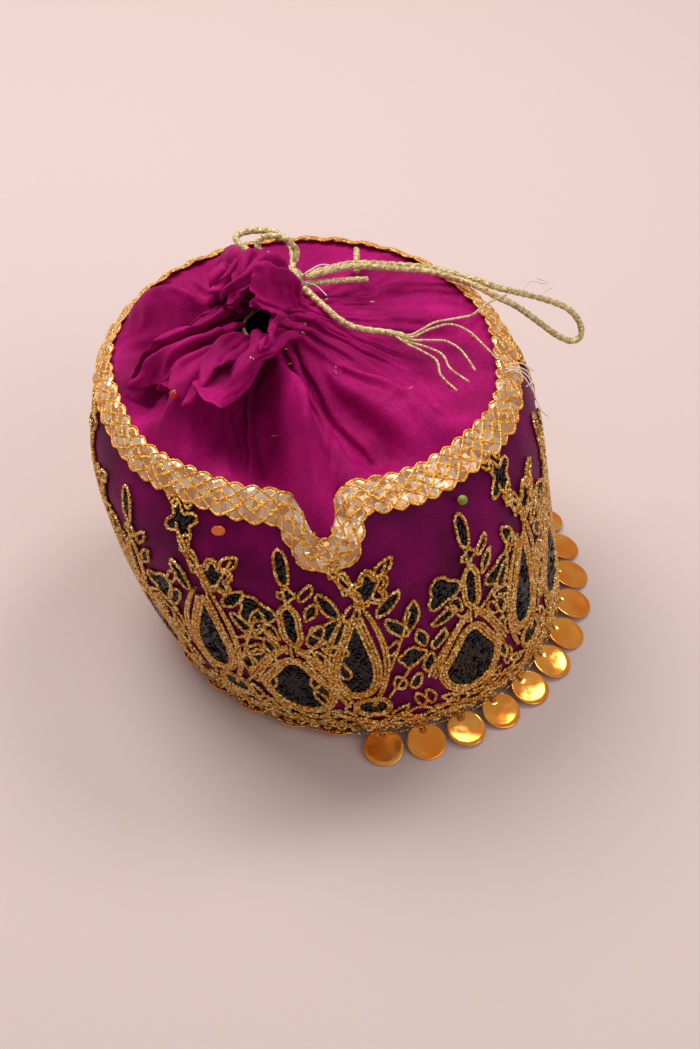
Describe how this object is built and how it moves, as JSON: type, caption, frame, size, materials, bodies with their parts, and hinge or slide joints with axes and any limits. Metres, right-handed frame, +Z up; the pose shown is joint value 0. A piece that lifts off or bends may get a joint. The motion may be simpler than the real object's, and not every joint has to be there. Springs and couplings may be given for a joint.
{
  "type": "potli drawstring bag",
  "caption": "Round soft cloth drawstring bag with a gathered neck and ruffle, tied cord, braided trim, embroidered lace border and a hem fringe of swinging discs.",
  "frame": {"origin": "centre of the base panel's underside, on the surface that the bag stands on", "axes": "+Z up out of the mouth, -Y towards the front with the V of the trim, +X to the right"},
  "size_m": [0.1864, 0.1758, 0.1575],
  "materials": {
    "plum_satin": "dark plum satin weave",
    "magenta_silk": "fine matt silk weave",
    "lining_cloth": "plain lining weave",
    "gota_braid": "pale metallic ribbon cells edged with orange thread",
    "zari_lace": "glittering gold cord round black sequins",
    "straw_cord": "twisted pale gold cord",
    "gold_disc": "mirror-bright orange gold metallised plastic",
    "orange_sequin": "translucent orange sequin",
    "red_bead": "clear red glass",
    "green_bead": "clear green glass"
  },
  "bodies": {
    "root": {"body_cloth": "plum_satin", "base_panel": "magenta_silk", "lining": "lining_cloth", "neck_cloth": "magenta_silk", "gota_trim": "gota_braid", "lace_border": "zari_lace", "drawstring": "straw_cord", "bow_knot": "straw_cord", "long_loop": "straw_cord", "short_loop": "straw_cord", "back_loop": "straw_cord", "cord_tail": "straw_cord", "frayed_strand_1": "straw_cord", "frayed_strand_2": "straw_cord", "frayed_strand_3": "straw_cord", "frayed_strand_4": "straw_cord", "frayed_strand_5": "straw_cord", "casing_tie": "straw_cord", "orange_sequin": "orange_sequin", "red_bead": "red_bead", "green_bead": "green_bead"},
    "hem_disc_01": {"hem_disc_01": "gold_disc"},
    "hem_disc_02": {"hem_disc_02": "gold_disc"},
    "hem_disc_03": {"hem_disc_03": "gold_disc"},
    "hem_disc_04": {"hem_disc_04": "gold_disc"},
    "hem_disc_05": {"hem_disc_05": "gold_disc"},
    "hem_disc_06": {"hem_disc_06": "gold_disc"},
    "hem_disc_07": {"hem_disc_07": "gold_disc"},
    "hem_disc_08": {"hem_disc_08": "gold_disc"},
    "hem_disc_09": {"hem_disc_09": "gold_disc"},
    "hem_disc_10": {"hem_disc_10": "gold_disc"},
    "hem_disc_11": {"hem_disc_11": "gold_disc"},
    "hem_disc_12": {"hem_disc_12": "gold_disc"},
    "hem_disc_13": {"hem_disc_13": "gold_disc"},
    "hem_disc_14": {"hem_disc_14": "gold_disc"},
    "hem_disc_15": {"hem_disc_15": "gold_disc"},
    "hem_disc_16": {"hem_disc_16": "gold_disc"},
    "hem_disc_17": {"hem_disc_17": "gold_disc"},
    "hem_disc_18": {"hem_disc_18": "gold_disc"},
    "hem_disc_19": {"hem_disc_19": "gold_disc"},
    "hem_disc_20": {"hem_disc_20": "gold_disc"},
    "hem_disc_21": {"hem_disc_21": "gold_disc"},
    "hem_disc_22": {"hem_disc_22": "gold_disc"},
    "hem_disc_23": {"hem_disc_23": "gold_disc"},
    "hem_disc_24": {"hem_disc_24": "gold_disc"},
    "hem_disc_25": {"hem_disc_25": "gold_disc"},
    "hem_disc_26": {"hem_disc_26": "gold_disc"},
    "hem_disc_27": {"hem_disc_27": "gold_disc"},
    "hem_disc_28": {"hem_disc_28": "gold_disc"},
    "hem_disc_29": {"hem_disc_29": "gold_disc"},
    "hem_disc_30": {"hem_disc_30": "gold_disc"},
    "hem_disc_31": {"hem_disc_31": "gold_disc"}
  },
  "joints": [
    {"name": "hem_disc_01_swing", "type": "hinge", "parent": "root", "child": "hem_disc_01", "pos_m": [0.00661, -0.07551, 0.004], "axis": [-0.9962, -0.0872, 0], "range_deg": [-70, 70]},
    {"name": "hem_disc_02_swing", "type": "hinge", "parent": "root", "child": "hem_disc_02", "pos_m": [0.02089, -0.07286, 0.004], "axis": [-0.9613, -0.2756, 0], "range_deg": [-70, 70]},
    {"name": "hem_disc_03_swing", "type": "hinge", "parent": "root", "child": "hem_disc_03", "pos_m": [0.03441, -0.06754, 0.004], "axis": [-0.891, -0.454, 0], "range_deg": [-70, 70]},
    {"name": "hem_disc_04_swing", "type": "hinge", "parent": "root", "child": "hem_disc_04", "pos_m": [0.04667, -0.05973, 0.004], "axis": [-0.788, -0.6157, 0], "range_deg": [-70, 70]},
    {"name": "hem_disc_05_swing", "type": "hinge", "parent": "root", "child": "hem_disc_05", "pos_m": [0.05721, -0.04973, 0.004], "axis": [-0.6561, -0.7547, 0], "range_deg": [-70, 70]},
    {"name": "hem_disc_06_swing", "type": "hinge", "parent": "root", "child": "hem_disc_06", "pos_m": [0.06564, -0.0379, 0.004], "axis": [-0.5, -0.866, 0], "range_deg": [-70, 70]},
    {"name": "hem_disc_07_swing", "type": "hinge", "parent": "root", "child": "hem_disc_07", "pos_m": [0.07167, -0.02468, 0.004], "axis": [-0.3256, -0.9455, 0], "range_deg": [-70, 70]},
    {"name": "hem_disc_08_swing", "type": "hinge", "parent": "root", "child": "hem_disc_08", "pos_m": [0.07506, -0.01055, 0.004], "axis": [-0.1392, -0.9903, 0], "range_deg": [-70, 70]},
    {"name": "hem_disc_09_swing", "type": "hinge", "parent": "root", "child": "hem_disc_09", "pos_m": [0.0757, 0.00397, 0.004], "axis": [0.0523, -0.9986, 0], "range_deg": [-70, 70]},
    {"name": "hem_disc_10_swing", "type": "hinge", "parent": "root", "child": "hem_disc_10", "pos_m": [0.07355, 0.01834, 0.004], "axis": [0.2419, -0.9703, 0], "range_deg": [-70, 70]},
    {"name": "hem_disc_11_swing", "type": "hinge", "parent": "root", "child": "hem_disc_11", "pos_m": [0.0687, 0.03203, 0.004], "axis": [0.4226, -0.9063, 0], "range_deg": [-70, 70]},
    {"name": "hem_disc_12_swing", "type": "hinge", "parent": "root", "child": "hem_disc_12", "pos_m": [0.06132, 0.04455, 0.004], "axis": [0.5878, -0.809, 0], "range_deg": [-70, 70]},
    {"name": "hem_disc_13_swing", "type": "hinge", "parent": "root", "child": "hem_disc_13", "pos_m": [0.05169, 0.05544, 0.004], "axis": [0.7314, -0.682, 0], "range_deg": [-70, 70]},
    {"name": "hem_disc_14_swing", "type": "hinge", "parent": "root", "child": "hem_disc_14", "pos_m": [0.04017, 0.06428, 0.004], "axis": [0.848, -0.5299, 0], "range_deg": [-70, 70]},
    {"name": "hem_disc_15_swing", "type": "hinge", "parent": "root", "child": "hem_disc_15", "pos_m": [0.02716, 0.07076, 0.004], "axis": [0.9336, -0.3584, 0], "range_deg": [-70, 70]},
    {"name": "hem_disc_16_swing", "type": "hinge", "parent": "root", "child": "hem_disc_16", "pos_m": [0.01316, 0.07465, 0.004], "axis": [0.9848, -0.1736, 0], "range_deg": [-70, 70]},
    {"name": "hem_disc_17_swing", "type": "hinge", "parent": "root", "child": "hem_disc_17", "pos_m": [-0.00132, 0.07579, 0.004], "axis": [0.9998, 0.0175, 0], "range_deg": [-70, 70]},
    {"name": "hem_disc_18_swing", "type": "hinge", "parent": "root", "child": "hem_disc_18", "pos_m": [-0.01576, 0.07414, 0.004], "axis": [0.9781, 0.2079, 0], "range_deg": [-70, 70]},
    {"name": "hem_disc_19_swing", "type": "hinge", "parent": "root", "child": "hem_disc_19", "pos_m": [-0.02962, 0.06977, 0.004], "axis": [0.9205, 0.3907, 0], "range_deg": [-70, 70]},
    {"name": "hem_disc_20_swing", "type": "hinge", "parent": "root", "child": "hem_disc_20", "pos_m": [-0.04239, 0.06284, 0.004], "axis": [0.829, 0.5592, 0], "range_deg": [-70, 70]},
    {"name": "hem_disc_21_swing", "type": "hinge", "parent": "root", "child": "hem_disc_21", "pos_m": [-0.0536, 0.0536, 0.004], "axis": [0.7071, 0.7071, 0], "range_deg": [-70, 70]},
    {"name": "hem_disc_22_swing", "type": "hinge", "parent": "root", "child": "hem_disc_22", "pos_m": [-0.06393, 0.04073, 0.004], "axis": [0.5373, 0.8434, 0], "range_deg": [0, 195]},
    {"name": "hem_disc_23_swing", "type": "hinge", "parent": "root", "child": "hem_disc_23", "pos_m": [-0.07136, 0.02558, 0.004], "axis": [0.3374, 0.9414, 0], "range_deg": [0, 195]},
    {"name": "hem_disc_24_swing", "type": "hinge", "parent": "root", "child": "hem_disc_24", "pos_m": [-0.07525, 0.00916, 0.004], "axis": [0.1208, 0.9927, 0], "range_deg": [0, 195]},
    {"name": "hem_disc_25_swing", "type": "hinge", "parent": "root", "child": "hem_disc_25", "pos_m": [-0.07541, -0.00771, 0.004], "axis": [-0.1018, 0.9948, 0], "range_deg": [0, 195]},
    {"name": "hem_disc_26_swing", "type": "hinge", "parent": "root", "child": "hem_disc_26", "pos_m": [-0.07183, -0.0242, 0.004], "axis": [-0.3193, 0.9477, 0], "range_deg": [0, 195]},
    {"name": "hem_disc_27_swing", "type": "hinge", "parent": "root", "child": "hem_disc_27", "pos_m": [-0.0647, -0.03949, 0.004], "axis": [-0.521, 0.8536, 0], "range_deg": [0, 195]},
    {"name": "hem_disc_28_swing", "type": "hinge", "parent": "root", "child": "hem_disc_28", "pos_m": [-0.05436, -0.05283, 0.004], "axis": [-0.6969, 0.7172, 0], "range_deg": [0, 195]},
    {"name": "hem_disc_29_swing", "type": "hinge", "parent": "root", "child": "hem_disc_29", "pos_m": [-0.04133, -0.06354, 0.004], "axis": [-0.8383, 0.5452, 0], "range_deg": [0, 195]},
    {"name": "hem_disc_30_swing", "type": "hinge", "parent": "root", "child": "hem_disc_30", "pos_m": [-0.02625, -0.07111, 0.004], "axis": [-0.9381, 0.3463, 0], "range_deg": [0, 195]},
    {"name": "hem_disc_31_swing", "type": "hinge", "parent": "root", "child": "hem_disc_31", "pos_m": [-0.00987, -0.07515, 0.004], "axis": [-0.9915, 0.1302, 0], "range_deg": [0, 195]}
  ]
}
